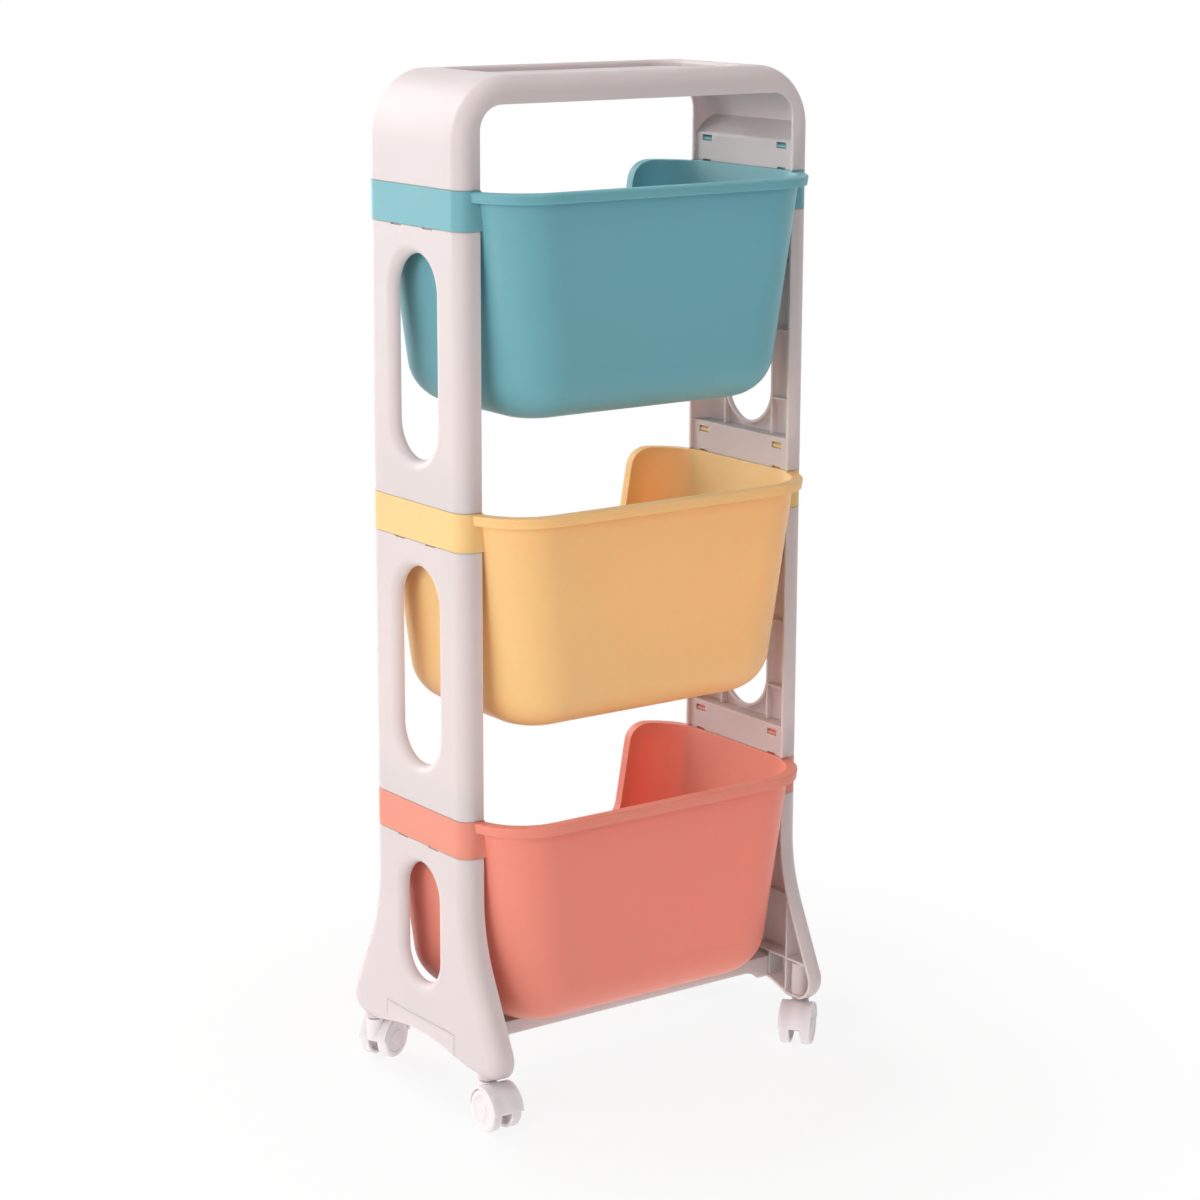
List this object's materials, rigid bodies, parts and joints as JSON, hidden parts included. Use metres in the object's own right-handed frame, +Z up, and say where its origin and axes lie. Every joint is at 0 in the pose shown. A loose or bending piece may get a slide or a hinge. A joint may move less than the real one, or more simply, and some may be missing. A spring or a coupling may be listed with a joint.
{
  "type": "rolling storage cart",
  "caption": "Tall narrow storage cart with deep open pastel bins stacked between white end frames, a tray-topped arch as handle, flared legs and twin-wheel swivel casters.",
  "frame": {"origin": "on the floor under the centre of the cart", "axes": "+Z up, +X to the right-hand end frame, -Y to the closed side of the bins, +Y to the side with the reach-in scoops"},
  "size_m": [0.3573, 0.239, 0.835],
  "materials": {
    "white_plastic": "satin",
    "blue_plastic": "satin",
    "yellow_plastic": "satin",
    "coral_plastic": "satin",
    "caster_plastic": "satin",
    "wheel_plastic": "satin",
    "steel": "brushed",
    "spring_steel": "bright"
  },
  "bodies": {
    "cart_frame": {"top_arch": "white_plastic", "upper_bin": "blue_plastic", "middle_bin": "yellow_plastic", "lower_bin": "coral_plastic", "upper_left_panel": "white_plastic", "upper_right_panel": "white_plastic", "lower_left_panel": "white_plastic", "lower_right_panel": "white_plastic", "left_leg": "white_plastic", "right_leg": "white_plastic", "tie_bar": "white_plastic", "front_left_stem": "steel", "front_left_grip_ring": "spring_steel", "front_right_stem": "steel", "front_right_grip_ring": "spring_steel", "rear_left_stem": "steel", "rear_left_grip_ring": "spring_steel", "rear_right_stem": "steel", "rear_right_grip_ring": "spring_steel"},
    "front_left_caster": {"front_left_hood": "caster_plastic", "front_left_axle": "steel"},
    "front_left_wheel_a_body": {"front_left_wheel_a": "wheel_plastic"},
    "front_left_wheel_b_body": {"front_left_wheel_b": "wheel_plastic"},
    "front_right_caster": {"front_right_hood": "caster_plastic", "front_right_axle": "steel"},
    "front_right_wheel_a_body": {"front_right_wheel_a": "wheel_plastic"},
    "front_right_wheel_b_body": {"front_right_wheel_b": "wheel_plastic"},
    "rear_left_caster": {"rear_left_hood": "caster_plastic", "rear_left_axle": "steel"},
    "rear_left_wheel_a_body": {"rear_left_wheel_a": "wheel_plastic"},
    "rear_left_wheel_b_body": {"rear_left_wheel_b": "wheel_plastic"},
    "rear_right_caster": {"rear_right_hood": "caster_plastic", "rear_right_axle": "steel"},
    "rear_right_wheel_a_body": {"rear_right_wheel_a": "wheel_plastic"},
    "rear_right_wheel_b_body": {"rear_right_wheel_b": "wheel_plastic"}
  },
  "joints": [
    {"name": "front_left_swivel", "type": "hinge", "parent": "cart_frame", "child": "front_left_caster", "pos_m": [-0.16325, -0.086, 0.0392], "axis": [0, 0, 1], "continuous": true},
    {"name": "front_left_wheel_a_spin", "type": "hinge", "parent": "front_left_caster", "child": "front_left_wheel_a_body", "pos_m": [-0.16369, -0.09849, 0.0175], "axis": [0.9994, -0.0349, 0], "continuous": true},
    {"name": "front_left_wheel_b_spin", "type": "hinge", "parent": "front_left_caster", "child": "front_left_wheel_b_body", "pos_m": [-0.16369, -0.09849, 0.0175], "axis": [0.9994, -0.0349, 0], "continuous": true},
    {"name": "front_right_swivel", "type": "hinge", "parent": "cart_frame", "child": "front_right_caster", "pos_m": [0.16325, -0.086, 0.0392], "axis": [0, 0, 1], "continuous": true},
    {"name": "front_right_wheel_a_spin", "type": "hinge", "parent": "front_right_caster", "child": "front_right_wheel_a_body", "pos_m": [0.15367, -0.09403, 0.0175], "axis": [0.6428, -0.766, 0], "continuous": true},
    {"name": "front_right_wheel_b_spin", "type": "hinge", "parent": "front_right_caster", "child": "front_right_wheel_b_body", "pos_m": [0.15367, -0.09403, 0.0175], "axis": [0.6428, -0.766, 0], "continuous": true},
    {"name": "rear_left_swivel", "type": "hinge", "parent": "cart_frame", "child": "rear_left_caster", "pos_m": [-0.16325, 0.086, 0.0392], "axis": [0, 0, 1], "continuous": true},
    {"name": "rear_left_wheel_a_spin", "type": "hinge", "parent": "rear_left_caster", "child": "rear_left_wheel_a_body", "pos_m": [-0.15183, 0.09108, 0.0175], "axis": [-0.4067, 0.9135, 0], "continuous": true},
    {"name": "rear_left_wheel_b_spin", "type": "hinge", "parent": "rear_left_caster", "child": "rear_left_wheel_b_body", "pos_m": [-0.15183, 0.09108, 0.0175], "axis": [-0.4067, 0.9135, 0], "continuous": true},
    {"name": "rear_right_swivel", "type": "hinge", "parent": "cart_frame", "child": "rear_right_caster", "pos_m": [0.16325, 0.086, 0.0392], "axis": [0, 0, 1], "continuous": true},
    {"name": "rear_right_wheel_a_spin", "type": "hinge", "parent": "rear_right_caster", "child": "rear_right_wheel_a_body", "pos_m": [0.1559, 0.09611, 0.0175], "axis": [-0.809, -0.5878, 0], "continuous": true},
    {"name": "rear_right_wheel_b_spin", "type": "hinge", "parent": "rear_right_caster", "child": "rear_right_wheel_b_body", "pos_m": [0.1559, 0.09611, 0.0175], "axis": [-0.809, -0.5878, 0], "continuous": true}
  ]
}
